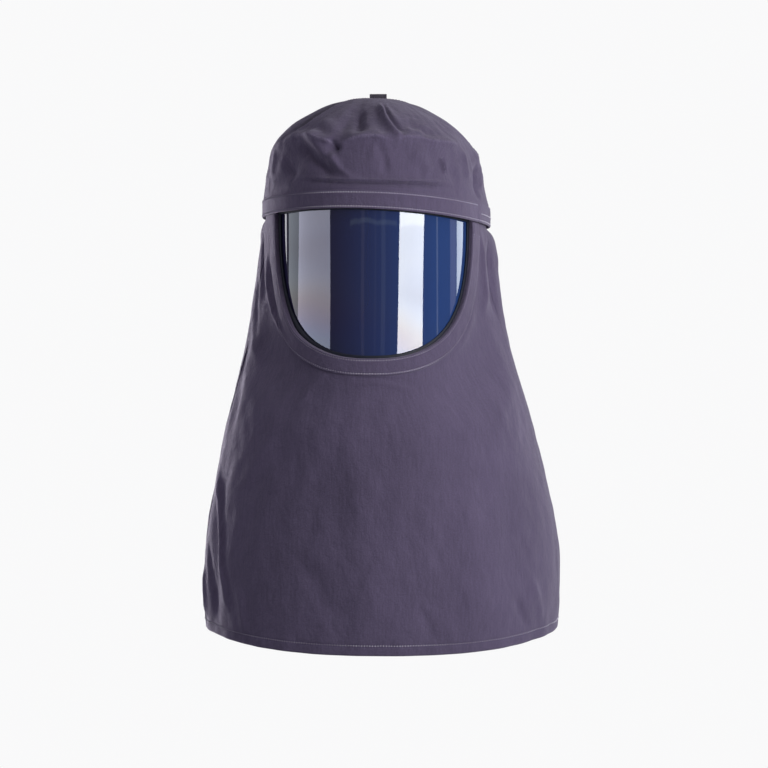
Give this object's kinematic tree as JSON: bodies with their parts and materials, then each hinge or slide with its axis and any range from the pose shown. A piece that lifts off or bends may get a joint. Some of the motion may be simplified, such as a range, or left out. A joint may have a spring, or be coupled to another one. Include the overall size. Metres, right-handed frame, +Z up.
{
  "type": "arc flash hood",
  "caption": "Soft flared fabric hood with a domed crown, stitched brow band and a U-shaped opening closed by a curved tinted window; worn over a helmet.",
  "frame": {"origin": "underside of the middle of the crown, where the hood sits on the helmet or head that carries it", "axes": "+Z up along the hood's length, -Y the side that the window faces, +X to the right as seen from the front"},
  "size_m": [0.3872, 0.3302, 0.5945],
  "materials": {
    "cloth": "matt woven cloth, muted purple grey",
    "seal": "matt black binding",
    "window": "glossy clear sheet with a dark blue tint",
    "tape": "matt woven tape"
  },
  "bodies": {
    "root": {"crown_front": "cloth", "crown_back": "cloth", "brow_band": "cloth", "bib_front": "cloth", "bib_back": "cloth", "opening_facing": "cloth", "window_seal": "seal", "window": "window", "top_tab": "tape"}
  },
  "joints": []
}
